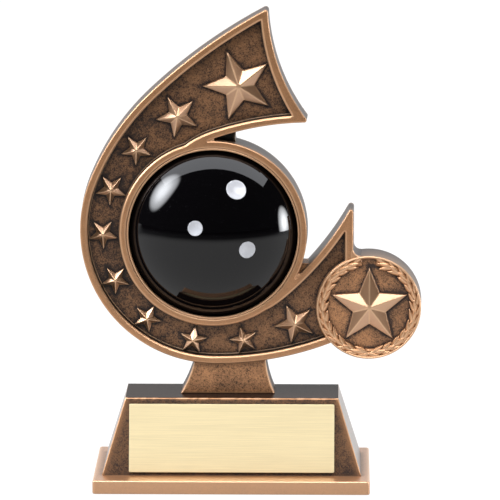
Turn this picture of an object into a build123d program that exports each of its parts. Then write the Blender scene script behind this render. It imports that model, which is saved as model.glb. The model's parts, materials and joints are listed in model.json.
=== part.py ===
"""Bowling award: a comet-shaped plaque with a half ball, stars and a medallion, on a stepped base.

Row frame: +Z up, the front faces -Y, +X to the right of someone who faces the award.
Origin: the middle of the underside. All lengths are in millimetres, all angles in degrees.
"""

from build123d import *
from math import atan2, cos, degrees, radians, sin, sqrt
import os

os.makedirs("parts", exist_ok=True)

# ------------------------------------------------------------------ base
felt_width, felt_depth, felt_thick = 94.0, 52.0, 1.2
felt_proud = 0.4  # how far the felt stands below the plinth
plinth_width, plinth_depth, plinth_top = 102.6, 60.3, 5.5
plinth_corner, plinth_edge = 1.2, 0.6
block_foot_width, block_foot_depth = 96.5, 40.4
block_top_width, block_top_depth, block_top = 79.2, 27.0, 33.4
plate_width, plate_height, plate_thick, tape_thick = 76.2, 25.4, 0.5, 0.25
plate_drop = 0.6  # from the middle of the block's front face down to the middle of the plate

# ------------------------------------------------------------------ fastening
rod_x, rod_y, rod_radius, rod_clearance = -1.3, 3.0, 2.0, 0.2
rod_low, rod_high = 6.9, 55.0
nut_flats, nut_height = 7.0, 3.2
washer_radius, washer_thick = 4.5, 0.8
counterbore_radius, counterbore_depth = 6.0, 6.0
insert_radius, insert_low, insert_high = 3.0, 46.0, 56.0
pin_radius, pin_length, foot_pin_spacing, medal_pin_spacing = 1.5, 12.0, 24.0, 12.0
medal_pin_y = 3.2

# ------------------------------------------------------------------ comet plaque
front_y, back_y = -6.5, 8.5  # the rims' front face and the back of the plaque
rim_width, recess_depth = 2.7, 4.5
tip_round = 0.8
# Webs close the notches beside the ring and stand back from the front; the last two corners face the gap.
web_front_y, web_round = -2.0, 1.0
tail_web = [(-9.5, 130.5), (-9.5, 127.0), (2.0, 127.0), (2.0, 133.0)]
horn_web = [(24.5, 76.0), (22.0, 76.0), (24.5, 83.1), (30.5, 83.1)]
tail_tip, tail_tip_heading = (13.1, 178.2), -152.0
outer_arcs = [(196.0, 16.0), (93.5, 24.1), (50.0, 111.0), (116.0, 24.0)]  # radius, sweep
tail_corner, tail_corner_heading = (28.3, 135.9), 180.5
tail_end_middle = (17.6, 155.4)
lower_arcs = [(110.0, 18.5), (35.2, 24.0)]
horn_tip, horn_tip_heading = (44.9, 105.6), -117.9
horn_arcs = [(112.0, -23.0), (32.0, -20.0)]
horn_foot = (44.9, 72.0)
recess_end = [(10.4, 177.0), (14.3, 155.5), (24.6, 134.5)]  # recess edge along the tail's end
recess_right = 41.9  # recess edge along the horn's straight side
thin_from, tail_thinning = 125.0, 5.0  # the tail gets thinner towards its tip, from behind

# ------------------------------------------------------------------ ball
ring_centre, ring_radius = (-7.1, 94.0), 34.8
bezel_radius, bezel_opening, bezel_height, bezel_drop = 32.2, 31.3, 2.0, 0.2
ball_skirt_radius, ball_rim_radius, ball_sphere_radius = 31.6, 31.2, 38.0
ball_seat_y, pad_thick, pad_radius = 0.5, 0.8, 29.0
hole_pocket_depth, inset_thick = 2.0, 1.7
# name, radius, angle to the right of straight ahead, angle above straight ahead
finger_holes = [
    ("thumb_hole_inset", 3.8, 15.4, 28.6),
    ("middle_finger_inset", 2.85, -9.5, 6.7),
    ("ring_finger_inset", 3.2, 20.1, -5.8),
]

# ------------------------------------------------------------------ stars
star_waist = 0.44  # inner radius over outer radius
star_wall = 1.0
# x, z, radius, turn from one point straight up, height of the centre over the walls
band_stars = [
    (2.4, 149.2, 13.7, 19.4, 3.0),
    (-20.3, 137.6, 8.3, 27.0, 2.4),
    (-35.5, 125.0, 6.05, 33.4, 2.0),
    (-45.1, 110.0, 6.05, 31.8, 2.0),
    (-48.1, 93.3, 5.8, 37.9, 2.0),
    (-43.55, 76.0, 5.6, 35.5, 2.0),
    (-31.75, 61.4, 5.55, 43.4, 2.0),
    (-14.65, 53.3, 5.4, -9.4, 2.0),
    (4.25, 53.3, 5.5, 15.1, 2.0),
    (23.3, 59.6, 7.95, 25.1, 2.4),
]

# ------------------------------------------------------------------ medallion
medal_centre, medal_radius = (50.8, 66.55), 19.45
medal_floor_y = -5.3
wreath_inner, wreath_height, wreath_gap = 15.2, 2.0, 9.0
medal_star_centre, medal_star_radius, medal_star_height = (51.0, 66.7), 15.1, 2.6

# ------------------------------------------------------------------ pedestal
pedestal_front_y, pedestal_back_y = -5.0, 8.5
pedestal_foot, pedestal_neck = (-19.2, 15.8), (-14.2, 12.5)
pedestal_neck_z, pedestal_hidden_z, pedestal_flare = 45.3, 52.0, 0.5


def xz_plane(y):
    """A plane that faces the front at depth y, with X across and Z up."""
    return Plane.XZ.offset(-y)


def heading(angle):
    return (cos(radians(angle)), sin(radians(angle)))


def arc_chain(start, start_heading, arcs):
    """Arcs that run smoothly into one another, inside the current BuildLine."""
    line = JernArc(start=start, tangent=heading(start_heading), radius=arcs[0][0], arc_size=arcs[0][1])
    for radius, sweep in arcs[1:]:
        line = JernArc(start=line @ 1, tangent=line % 1, radius=radius, arc_size=sweep)
    return line


def beside(point, angle, distance):
    """The point this far to the left of someone who stands at point and looks along angle."""
    return (point[0] - distance * sin(radians(angle)), point[1] + distance * cos(radians(angle)))


def crescent_face(inset):
    """The tail, band and horn as one face, whose inner side is hidden behind the ring."""
    outer_start = beside(tail_tip, tail_tip_heading, inset)
    lower_start = beside(tail_corner, tail_corner_heading, -inset)
    horn_start = beside(horn_tip, horn_tip_heading, inset)
    with BuildSketch() as face:
        with BuildLine():
            outer = arc_chain(outer_start, tail_tip_heading, [(r - inset, a) for r, a in outer_arcs])
            lower = arc_chain(lower_start, tail_corner_heading, [(r + inset, a) for r, a in lower_arcs])
            horn = arc_chain(horn_start, horn_tip_heading, [(r + inset, a) for r, a in horn_arcs])
            ThreePointArc(outer_start, tail_end_middle, lower_start)
            Line(horn @ 1, lower @ 1)
            Polyline(outer @ 1, horn_foot, horn_start)
        make_face()
    return face.sketch


def comet_face(crescent, webs):
    """The whole front view of the plaque, ring included and medallion left out."""
    with BuildSketch() as face:
        add(crescent)
        with Locations(ring_centre):
            Circle(ring_radius)
        for corner in (tail_tip, tail_corner, horn_tip):
            fillet(face.vertices().sort_by_distance(corner)[0], tip_round)
        for web in webs:
            Polygon(*web, align=None)
            for hollow in web[2:]:
                fillet(face.vertices().sort_by_distance(hollow)[0], web_round)
        with Locations(medal_centre):
            Circle(medal_radius, mode=Mode.SUBTRACT)
    return face.sketch


def recess_face(crescent):
    """The sunken floor between the rims."""
    with BuildSketch() as face:
        add(crescent)
        with BuildLine():
            end = ThreePointArc(*recess_end)
            Polyline(end @ 1, (60.0, 134.5), (60.0, 177.0), end @ 0)
        make_face(mode=Mode.SUBTRACT)
        with BuildLine():
            Polyline((recess_right, 60.0), (60.0, 60.0), (60.0, 110.0), (recess_right, 110.0), close=True)
        make_face(mode=Mode.SUBTRACT)
        with Locations(ring_centre):
            Circle(ring_radius, mode=Mode.SUBTRACT)
        with Locations(medal_centre):
            Circle(medal_radius, mode=Mode.SUBTRACT)
    return face.sketch


comet_outline = comet_face(crescent_face(0), [])
webbed_outline = comet_face(crescent_face(0), [tail_web, horn_web])
recess_outline = recess_face(crescent_face(rim_width))


def star_points(radius, turn):
    """Ten corners, outer and inner by turns; turn is counter-clockwise from straight up."""
    radii = [radius, radius * star_waist] * 5
    return [
        (r * cos(radians(90 + turn + 36 * i)), r * sin(radians(90 + turn + 36 * i)))
        for i, r in enumerate(radii)
    ]


def relief_star(x, z, radius, turn, height, floor_y):
    """A five-pointed star with upright walls and ten sloping facets that meet in a point."""
    with BuildPart() as star:
        with BuildSketch(xz_plane(floor_y)):
            with Locations((x, z)):
                Polygon(*star_points(radius, turn), align=None)
        extrude(amount=star_wall)
        peak = Vertex(x, floor_y - star_wall - height, z)
        loft([star.faces().sort_by(Axis.Y)[0], peak], ruled=True)
    return star


def write(part, name):
    part.label = name
    export_step(part, f"parts/{name}.step")


# ================================================================== base
plinth_underside = felt_proud
with BuildPart() as foot_plinth:
    with BuildSketch(Plane.XY.offset(plinth_underside)):
        RectangleRounded(plinth_width, plinth_depth, plinth_corner)
    extrude(amount=plinth_top - plinth_underside)
    fillet(foot_plinth.faces().sort_by(Axis.Z)[-1].edges(), plinth_edge)
    with BuildSketch(Plane.XY.offset(plinth_underside)):
        Rectangle(felt_width, felt_depth)
    extrude(amount=felt_thick - felt_proud, mode=Mode.SUBTRACT)
    with BuildSketch(Plane.XY):
        with Locations((rod_x, rod_y)):
            Circle(counterbore_radius + 1)
    extrude(amount=plinth_top, mode=Mode.SUBTRACT)
write(foot_plinth.part, "foot_plinth")

with BuildPart() as felt_pad:
    with BuildSketch(Plane.XY):
        Rectangle(felt_width, felt_depth)
    extrude(amount=felt_thick)
write(felt_pad.part, "felt_pad")

pins_z = block_top - pin_length / 2
with BuildPart() as base_block:
    with BuildSketch(Plane.XY.offset(plinth_top)):
        Rectangle(block_foot_width, block_foot_depth)
    with BuildSketch(Plane.XY.offset(block_top)):
        Rectangle(block_top_width, block_top_depth)
    loft(ruled=True)
    with Locations(Plane(origin=(rod_x, rod_y, plinth_top), x_dir=(1, 0, 0), z_dir=(0, 0, -1))):
        CounterBoreHole(rod_radius + rod_clearance, counterbore_radius, counterbore_depth)
    with Locations((rod_x, rod_y, pins_z)):
        with GridLocations(foot_pin_spacing, 1, 2, 1):
            Cylinder(
                pin_radius, pin_length, mode=Mode.SUBTRACT, align=(Align.CENTER, Align.CENTER, Align.MIN)
            )
write(base_block.part, "base_block")

# The block's front face leans back; the plate and its tape lie on it.
lean_run = (block_foot_depth - block_top_depth) / 2
lean = degrees(atan2(lean_run, block_top - plinth_top))
face_normal = (0, -cos(radians(lean)), sin(radians(lean)))
face_middle = (
    0,
    -(block_foot_depth + block_top_depth) / 4,
    (plinth_top + block_top) / 2,
)
front_face = Plane(origin=face_middle, x_dir=(1, 0, 0), z_dir=face_normal)

with BuildPart() as plate_tape:
    with BuildSketch(front_face):
        with Locations((0, -plate_drop)):
            Rectangle(plate_width - 4, plate_height - 4)
    extrude(amount=tape_thick)
write(plate_tape.part, "plate_tape")

with BuildPart() as engraving_plate:
    with BuildSketch(front_face.offset(tape_thick)):
        with Locations((0, -plate_drop)):
            Rectangle(plate_width, plate_height)
    extrude(amount=plate_thick)
write(engraving_plate.part, "engraving_plate")

# ================================================================== pedestal
with BuildPart() as pedestal:
    with BuildSketch(xz_plane(pedestal_back_y)):
        with BuildLine():
            left_mid = (
                (pedestal_foot[0] + pedestal_neck[0]) / 2 + pedestal_flare,
                (block_top + pedestal_neck_z) / 2,
            )
            right_mid = (
                (pedestal_foot[1] + pedestal_neck[1]) / 2 - pedestal_flare,
                (block_top + pedestal_neck_z) / 2,
            )
            left = ThreePointArc(
                (pedestal_foot[0], block_top), left_mid, (pedestal_neck[0], pedestal_neck_z)
            )
            right = ThreePointArc(
                (pedestal_neck[1], pedestal_neck_z), right_mid, (pedestal_foot[1], block_top)
            )
            Polyline(
                left @ 1,
                (pedestal_neck[0], pedestal_hidden_z),
                (pedestal_neck[1], pedestal_hidden_z),
                right @ 0,
            )
            Line(right @ 1, left @ 0)
        make_face()
    extrude(amount=pedestal_back_y - pedestal_front_y)
    with BuildSketch(xz_plane(back_y)):
        add(comet_outline)
    extrude(amount=back_y - front_y, mode=Mode.SUBTRACT)
    with Locations((rod_x, rod_y, block_top)):
        Cylinder(
            rod_radius + rod_clearance,
            pedestal_hidden_z - block_top,
            mode=Mode.SUBTRACT,
            align=(Align.CENTER, Align.CENTER, Align.MIN),
        )
    with Locations((rod_x, rod_y, pins_z)):
        with GridLocations(foot_pin_spacing, 1, 2, 1):
            Cylinder(
                pin_radius, pin_length, mode=Mode.SUBTRACT, align=(Align.CENTER, Align.CENTER, Align.MIN)
            )
write(pedestal.part, "pedestal")

# ================================================================== comet plaque
medal_pin_x = medal_centre[0] - sqrt(medal_radius**2 - (medal_pin_spacing / 2) ** 2)
medal_pin_plane = Plane(
    origin=(medal_pin_x, medal_pin_y, medal_centre[1]), x_dir=(0, 0, 1), z_dir=(1, 0, 0)
)
with BuildPart() as comet_frame:
    with BuildSketch(xz_plane(back_y)):
        add(comet_outline)
    extrude(amount=back_y - front_y)
    with BuildSketch(xz_plane(back_y)):
        add(webbed_outline)
    extrude(amount=back_y - web_front_y)
    with BuildSketch(xz_plane(front_y)):
        add(recess_outline)
    extrude(amount=-recess_depth, mode=Mode.SUBTRACT)
    # Seats for the ball and its bezel.
    with BuildSketch(xz_plane(ball_seat_y)):
        with Locations(ring_centre):
            Circle(ball_skirt_radius)
    extrude(amount=ball_seat_y - front_y, mode=Mode.SUBTRACT)
    with BuildSketch(xz_plane(front_y)):
        with Locations(ring_centre):
            Circle(bezel_radius)
    extrude(amount=-(bezel_height + bezel_drop), mode=Mode.SUBTRACT)
    # The tail thins towards its tip.
    with BuildSketch(Plane.YZ):
        tail_top = tail_tip[1] + 1
        with BuildLine():
            Polyline(
                (back_y, thin_from),
                (back_y - tail_thinning, tail_top),
                (back_y + 1, tail_top),
                (back_y + 1, thin_from),
                close=True,
            )
        make_face()
    extrude(amount=plinth_width, both=True, mode=Mode.SUBTRACT)
    # The threaded insert's pocket, and the medallion's pins.
    with Locations((rod_x, rod_y, insert_high)):
        Cylinder(
            insert_radius,
            insert_high - block_top,
            mode=Mode.SUBTRACT,
            align=(Align.CENTER, Align.CENTER, Align.MAX),
        )
    with BuildSketch(medal_pin_plane):
        with GridLocations(medal_pin_spacing, 1, 2, 1):
            Circle(pin_radius)
    extrude(amount=pin_length / 2, both=True, mode=Mode.SUBTRACT)
write(comet_frame.part, "comet_frame")

# ================================================================== ball
with BuildPart() as ball_bezel:
    with BuildSketch(xz_plane(front_y + bezel_drop)):
        with Locations(ring_centre):
            Circle(bezel_radius)
            Circle(bezel_opening, mode=Mode.SUBTRACT)
    extrude(amount=-bezel_height)
write(ball_bezel.part, "ball_bezel")

ball_front_y = front_y + bezel_drop + bezel_height  # where the skirt ends and the dome starts
ball_back_y = ball_seat_y - pad_thick
sphere_y = ball_front_y + sqrt(ball_sphere_radius**2 - ball_rim_radius**2)
sphere_centre = Vector(ring_centre[0], sphere_y, ring_centre[1])


def hole_plane(across, above, distance):
    """A plane that faces outwards from the ball, at this distance from the sphere's centre."""
    direction = Vector(
        sin(radians(across)) * cos(radians(above)),
        -cos(radians(across)) * cos(radians(above)),
        sin(radians(above)),
    )
    return Plane(origin=sphere_centre + direction * distance, z_dir=direction)


with BuildPart() as ball_dome:
    with BuildSketch(Plane(origin=sphere_centre, x_dir=(1, 0, 0), z_dir=(0, 0, 1))):
        with BuildLine():
            depth = sphere_y - ball_front_y
            middle = ball_sphere_radius * sin(radians(30)), -ball_sphere_radius * cos(radians(30))
            dome = ThreePointArc((0, -ball_sphere_radius), middle, (ball_rim_radius, -depth))
            Polyline(
                dome @ 1,
                (ball_skirt_radius, -depth),
                (ball_skirt_radius, -(sphere_y - ball_back_y)),
                (0, -(sphere_y - ball_back_y)),
                dome @ 0,
            )
        make_face()
    revolve(axis=Axis((ring_centre[0], 0, ring_centre[1]), (0, 1, 0)))
    for _, hole_radius, across, above in finger_holes:
        with Locations(hole_plane(across, above, ball_sphere_radius - hole_pocket_depth)):
            Cylinder(
                hole_radius,
                2 * hole_pocket_depth,
                mode=Mode.SUBTRACT,
                align=(Align.CENTER, Align.CENTER, Align.MIN),
            )
write(ball_dome.part, "ball_dome")

for inset_name, hole_radius, across, above in finger_holes:
    with BuildPart() as inset:
        with BuildSketch(hole_plane(across, above, ball_sphere_radius - hole_pocket_depth)):
            Circle(hole_radius)
        extrude(amount=inset_thick)
    write(inset.part, inset_name)

with BuildPart() as ball_pad:
    with BuildSketch(xz_plane(ball_seat_y)):
        with Locations(ring_centre):
            Circle(pad_radius)
    extrude(amount=pad_thick)
write(ball_pad.part, "ball_pad")

# ================================================================== stars on the band
for number, (x, z, radius, turn, height) in enumerate(band_stars, start=1):
    band_star = relief_star(x, z, radius, turn, height, front_y + recess_depth)
    write(band_star.part, f"band_star_{number:02d}")

# ================================================================== medallion
with BuildPart() as medallion_disc:
    with BuildSketch(xz_plane(back_y)):
        with Locations(medal_centre):
            Circle(medal_radius)
    extrude(amount=back_y - medal_floor_y)
    with BuildSketch(medal_pin_plane):
        with GridLocations(medal_pin_spacing, 1, 2, 1):
            Circle(pin_radius)
    extrude(amount=pin_length / 2, both=True, mode=Mode.SUBTRACT)
write(medallion_disc.part, "medallion_disc")

with BuildPart() as medallion_wreath:
    with BuildSketch(xz_plane(medal_floor_y)):
        with BuildLine():
            wide = CenterArc(medal_centre, medal_radius, 90 + wreath_gap, 360 - 2 * wreath_gap)
            narrow = CenterArc(medal_centre, wreath_inner, 90 + wreath_gap, 360 - 2 * wreath_gap)
            Line(wide @ 0, narrow @ 0)
            Line(wide @ 1, narrow @ 1)
        make_face()
    extrude(amount=wreath_height)
write(medallion_wreath.part, "medallion_wreath")

medallion_star = relief_star(*medal_star_centre, medal_star_radius, 0, medal_star_height, medal_floor_y)
write(medallion_star.part, "medallion_star")

with BuildPart() as medallion_pins:
    with BuildSketch(medal_pin_plane):
        with GridLocations(medal_pin_spacing, 1, 2, 1):
            Circle(pin_radius)
    extrude(amount=pin_length / 2, both=True)
write(medallion_pins.part, "medallion_pins")

# ================================================================== fastening
with BuildPart() as hold_down_rod:
    with Locations((rod_x, rod_y, rod_low)):
        Cylinder(rod_radius, rod_high - rod_low, align=(Align.CENTER, Align.CENTER, Align.MIN))
    chamfer(hold_down_rod.edges().filter_by(GeomType.CIRCLE), 0.4)
write(hold_down_rod.part, "hold_down_rod")

washer_top = plinth_top + counterbore_depth
with BuildPart() as hold_down_washer:
    with BuildSketch(Plane.XY.offset(washer_top - washer_thick)):
        with Locations((rod_x, rod_y)):
            Circle(washer_radius)
            Circle(rod_radius + rod_clearance, mode=Mode.SUBTRACT)
    extrude(amount=washer_thick)
write(hold_down_washer.part, "hold_down_washer")

with BuildPart() as hold_down_nut:
    with BuildSketch(Plane.XY.offset(washer_top - washer_thick - nut_height)):
        with Locations((rod_x, rod_y)):
            RegularPolygon(nut_flats / 2, 6, major_radius=False)
            Circle(rod_radius, mode=Mode.SUBTRACT)
    extrude(amount=nut_height)
write(hold_down_nut.part, "hold_down_nut")

with BuildPart() as threaded_insert:
    with BuildSketch(Plane.XY.offset(insert_low)):
        with Locations((rod_x, rod_y)):
            Circle(insert_radius)
            Circle(rod_radius, mode=Mode.SUBTRACT)
    extrude(amount=insert_high - insert_low)
write(threaded_insert.part, "threaded_insert")

with BuildPart() as pedestal_pins:
    with Locations((rod_x, rod_y, pins_z)):
        with GridLocations(foot_pin_spacing, 1, 2, 1):
            Cylinder(pin_radius, pin_length, align=(Align.CENTER, Align.CENTER, Align.MIN))
write(pedestal_pins.part, "pedestal_pins")
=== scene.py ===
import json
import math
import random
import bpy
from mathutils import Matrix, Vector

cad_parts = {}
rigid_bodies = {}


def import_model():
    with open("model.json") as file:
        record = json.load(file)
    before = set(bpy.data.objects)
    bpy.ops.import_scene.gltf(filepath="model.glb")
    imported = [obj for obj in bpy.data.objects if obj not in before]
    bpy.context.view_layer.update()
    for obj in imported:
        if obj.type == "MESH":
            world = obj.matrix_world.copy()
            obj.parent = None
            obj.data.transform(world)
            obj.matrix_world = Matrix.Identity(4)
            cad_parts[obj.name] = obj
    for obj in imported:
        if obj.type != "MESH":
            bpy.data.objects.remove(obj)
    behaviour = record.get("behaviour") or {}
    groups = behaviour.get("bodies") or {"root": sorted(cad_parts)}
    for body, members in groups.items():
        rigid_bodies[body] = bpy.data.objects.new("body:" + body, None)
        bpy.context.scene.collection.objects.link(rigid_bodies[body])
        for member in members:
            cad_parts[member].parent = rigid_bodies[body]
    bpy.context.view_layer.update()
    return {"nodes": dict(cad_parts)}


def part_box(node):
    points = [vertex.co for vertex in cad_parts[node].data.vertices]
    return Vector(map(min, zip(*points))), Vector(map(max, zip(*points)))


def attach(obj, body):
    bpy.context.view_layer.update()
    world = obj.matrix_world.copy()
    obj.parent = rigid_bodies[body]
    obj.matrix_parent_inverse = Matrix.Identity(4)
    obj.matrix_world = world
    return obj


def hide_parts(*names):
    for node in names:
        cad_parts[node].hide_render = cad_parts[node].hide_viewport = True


bl_info = {
    "name": "Bowling award",
    "version": (1, 0, 0),
    "blender": (4, 5, 0),
    "location": "3D View > Sidebar > Award",
    "description": "Builds a bowling award: a comet plaque with a half ball, stars and a medallion",
    "category": "Object",
}

import bmesh
import bpy
import numpy as np
from mathutils import Quaternion, Vector
from mathutils.geometry import delaunay_2d_cdt

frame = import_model()
MM = 0.001


def box_mm(node):
    """Lowest and highest corner of a CAD node, in millimetres."""
    low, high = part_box(node)
    return low / MM, high / MM


# ---------------------------------------------------------------- outlines, in millimetres, as X and Z
def flat_loops(node, depth, facing):
    """Closed outlines of a CAD node's flat faces at this depth; facing is -1 for front, 1 for back."""
    mesh = frame["nodes"][node].data
    following = {}
    for face in mesh.polygons:
        corners = [mesh.vertices[i].co / MM for i in face.vertices]
        if face.normal.y * facing < 0.99 or any(abs(c.y - depth) > 0.01 for c in corners):
            continue
        keys = [(round(c.x, 3), round(c.z, 3)) for c in corners]
        for a, b in zip(keys, keys[1:] + keys[:1]):
            if following.get(b) and a in following[b]:
                following[b].remove(a)
            else:
                following.setdefault(a, []).append(b)
    loops = []
    while any(following.values()):
        start = next(k for k, v in following.items() if v)
        loop, here = [start], following[start].pop()
        while here != start:
            loop.append(here)
            here = following[here].pop()
        loops.append(np.array(loop))
    return sorted([forward(loop) for loop in loops], key=area, reverse=True)


def area(loop):
    x, z = np.array(loop).T
    return 0.5 * float(np.sum(x * np.roll(z, -1) - z * np.roll(x, -1)))


def forward(loop):
    """The outline in the direction that gives it a positive area."""
    return np.array(loop) if area(loop) > 0 else np.array(loop)[::-1]


def resample(loop, step, sharp=42.0):
    """The same closed outline with points about a step apart, curved between its sharp corners."""
    points = np.array(loop, float)
    chord = np.roll(points, -1, 0) - points
    length = np.maximum(np.linalg.norm(chord, axis=1), 1e-9)
    ahead = chord / length[:, None]
    back, back_length = np.roll(ahead, 1, 0), np.roll(length, 1)
    corner = np.degrees(np.arccos(np.clip((ahead * back).sum(1), -1, 1))) > sharp
    ratio = length / back_length
    tangent = back * length[:, None] + ahead * back_length[:, None]
    tangent[ratio > 2.5] = ahead[ratio > 2.5]
    tangent[ratio < 0.4] = back[ratio < 0.4]
    tangent /= np.maximum(np.linalg.norm(tangent, axis=1), 1e-9)[:, None]
    made = []
    for i in range(len(points)):
        j = (i + 1) % len(points)
        d, out, into = ahead[i], tangent[i], tangent[j]
        if corner[i] and corner[j]:
            out = into = d
        elif corner[i]:
            out = 2 * (d @ into) * d - into
        elif corner[j]:
            into = 2 * (d @ out) * d - out
        for t in np.linspace(0, 1, max(1, math.ceil(length[i] / step)), endpoint=False):
            made.append(
                (2 * t**3 - 3 * t**2 + 1) * points[i]
                + (t**3 - 2 * t**2 + t) * length[i] * out
                + (3 * t**2 - 2 * t**3) * points[j]
                + (t**3 - t**2) * length[i] * into
            )
    return np.array(made)


def grow(loop, distance):
    """The outline moved outwards by a distance, with the points of narrow corners held short."""
    ahead = np.roll(loop, -1, 0) - loop
    ahead /= np.maximum(np.linalg.norm(ahead, axis=1), 1e-9)[:, None]
    normal = np.stack([ahead[:, 1], -ahead[:, 0]], 1)
    both = normal + np.roll(normal, 1, 0)
    spread = np.maximum((both**2).sum(1) / 2, 0.9)
    return loop + distance * both / spread[:, None]


def inside(points, loops):
    """Which points are inside an odd number of the outlines."""
    x, z = np.array(points, float).T
    odd = np.zeros(len(x), bool)
    for loop in loops:
        ax, az = np.array(loop).T
        bx, bz = np.roll(ax, -1), np.roll(az, -1)
        for i in range(len(ax)):
            crosses = (az[i] > z) != (bz[i] > z)
            if crosses.any():
                at = (bx[i] - ax[i]) * (z - az[i]) / (bz[i] - az[i] if bz[i] != az[i] else 1e-12) + ax[i]
                odd ^= crosses & (x < at)
    return odd


def shade_and_wash_near(loops, reach, most):
    """How dark the wash and the painted shade are at a place: darkest beside the outlines, thinning out
    within the reach.
    """
    edges = np.vstack(loops)

    def dark(spots):
        nearest = np.array([np.sqrt(((edges - spot) ** 2).sum(1).min()) for spot in spots])
        return most * np.exp(-((nearest / reach) ** 1.3))

    return dark


def circle(centre, radius, count):
    turns = np.linspace(0, 2 * math.pi, count, endpoint=False)
    return np.stack([centre[0] + radius * np.cos(turns), centre[1] + radius * np.sin(turns)], 1)


def hoop(middle, way, radius, count=72):
    """Points on a circle that faces a direction."""
    side = way.orthogonal().normalized()
    up = way.cross(side)
    turns = np.linspace(0, 2 * math.pi, count, endpoint=False)
    return [middle + (side * math.cos(t) + up * math.sin(t)) * radius for t in turns]


def slab(half_width, half_depth, corner, steps):
    """A rectangle with rounded corners, about its middle."""
    made = []
    for sx, sy, start in ((1, -1, -90), (1, 1, 0), (-1, 1, 90), (-1, -1, 180)):
        for t in np.linspace(0, 90, steps):
            a = math.radians(start + t)
            x = sx * (half_width - corner) + corner * math.cos(a)
            made.append((x, sy * (half_depth - corner) + corner * math.sin(a)))
    return np.array(made)


# ---------------------------------------------------------------- meshes
class Shell:
    """Collects the points and faces of one piece, with how worn each point is and how much wash and painted
    shade it takes.
    """

    def __init__(self):
        self.points, self.faces, self.finish, self.wear, self.grime = [], [], [], [], []

    def add(self, point, wear=0.0, grime=0.0):
        self.points.append(tuple(point))
        self.wear.append(wear)
        self.grime.append(grime)
        return len(self.points) - 1

    def face(self, corners, finish=0):
        self.faces.append(tuple(corners))
        self.finish.append(finish)

    def grid(self, rows, finish=0):
        """Joins each row of points to the next, left open at the rows' ends."""
        for one, two in zip(rows, rows[1:]):
            for j in range(len(one) - 1):
                self.face((one[j], one[j + 1], two[j + 1], two[j]), finish)

    def tube(self, rings, finish=0):
        """Joins each closed ring of points to the next."""
        self.grid([ring + ring[:1] for ring in rings], finish)
        return rings

    def ring(self, loop, depth, wear=0.0, grime=0.0):
        depths = depth(loop) if callable(depth) else [depth] * len(loop)
        return [self.add((p[0], y, p[1]), wear, grime) for p, y in zip(loop, depths)]

    def stations(self, loop, rows, finish=0):
        """Rings that follow the outline; each row is how far out, how deep, wear, and wash with painted
        shade.
        """
        rings = [self.ring(grow(loop, out), depth, wear, grime) for out, depth, wear, grime in rows]
        return self.tube(rings, finish)

    def lathe(self, centre, rows, count, finish=0):
        """A shape turned about a front-facing axis; each row is radius, depth, wear, and wash with painted
        shade.
        """
        rings = [self.ring(circle(centre, row[0], count), *row[1:]) for row in rows]
        return self.tube(rings, finish)

    def fan(self, ring, tip, finish=0):
        """Closes a ring of points to one point."""
        for i, j in zip(ring, ring[1:] + ring[:1]):
            self.face((i, j, tip), finish)

    def fill(self, rings, depth, spacing, finish=0, wear=0.0, grime=0.0):
        """Closes a flat or gently bent area between rings, with an even net of points in it."""
        known = [i for ring in rings for i in ring]
        loops = [np.array([(self.points[i][0], self.points[i][2]) for i in ring]) for ring in rings]
        flat = np.vstack(loops)
        edges, first = [], 0
        for ring in rings:
            edges += [(first + i, first + (i + 1) % len(ring)) for i in range(len(ring))]
            first += len(ring)
        low, high = flat.min(0), flat.max(0)
        net = [
            (low[0] + spacing * (i + 0.5 * (j % 2)), low[1] + spacing * 0.87 * j)
            for j in range(int((high[1] - low[1]) / spacing / 0.87) + 1)
            for i in range(int((high[0] - low[0]) / spacing) + 1)
        ]
        net = np.array(net)[inside(net, loops)]
        net = [p for p in net if ((flat - p) ** 2).sum(1).min() > (0.55 * spacing) ** 2]
        everything = [Vector(p) for p in flat] + [Vector(p) for p in net]
        made, _, faces, origin, _, _ = delaunay_2d_cdt(everything, edges, [], 0, 1e-6)
        middles = [sum((made[i] for i in face), Vector((0, 0))) / len(face) for face in faces]
        index = {}
        for face, kept in zip(faces, inside([tuple(m) for m in middles], loops)):
            if not kept:
                continue
            for i in face:
                if i in index:
                    continue
                if origin[i] and origin[i][0] < len(known):
                    index[i] = known[origin[i][0]]
                    continue
                spot = np.array([[made[i].x, made[i].y]])
                y = depth(spot)[0] if callable(depth) else depth
                dark = grime(spot)[0] if callable(grime) else grime
                index[i] = self.add((made[i].x, y, made[i].y), wear, dark)
            self.face([index[i] for i in face], finish)

    def piece(self, name, finishes, slot, nodes=(), weld=1e-6, soften=True, bevel=None):
        """The mesh object, riding on the award's body and standing for its CAD nodes."""
        mesh = bpy.data.meshes.new(name)
        mesh.from_pydata([(x * MM, y * MM, z * MM) for x, y, z in self.points], [], self.faces)
        for label, values in (("wear", self.wear), ("grime", self.grime)):
            mesh.attributes.new(label, "FLOAT", "POINT").data.foreach_set("value", np.array(values, "f"))
        mesh.polygons.foreach_set("material_index", self.finish)
        for finish in finishes:
            mesh.materials.append(finish)
        net = bmesh.new()
        net.from_mesh(mesh)
        bmesh.ops.remove_doubles(net, verts=net.verts, dist=weld)
        bmesh.ops.recalc_face_normals(net, faces=net.faces)
        net.to_mesh(mesh)
        net.free()
        mesh.shade_smooth()
        piece = bpy.data.objects.new(name, mesh)
        bpy.context.scene.collection.objects.link(piece)
        if bevel:
            edge = piece.modifiers.new("Rounded edges", "BEVEL")
            edge.width, edge.segments, edge.limit_method = bevel * MM, 3, "ANGLE"
            edge.angle_limit = math.radians(18)
            edge.material = len(finishes) - 1
        if soften:
            even = piece.modifiers.new("Even shading", "WEIGHTED_NORMAL")
            even.weight = 100
        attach(piece, "root")
        if nodes:
            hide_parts(*nodes)
        return piece


# ---------------------------------------------------------------- shader expressions
def arithmetic(operation):
    """The pair of Python operators, plain and reflected, that add this Math node."""

    def plain(self, other):
        return self.graph.math(operation, self, other)

    def reflected(self, other):
        return self.graph.math(operation, other, self)

    return plain, reflected


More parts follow.
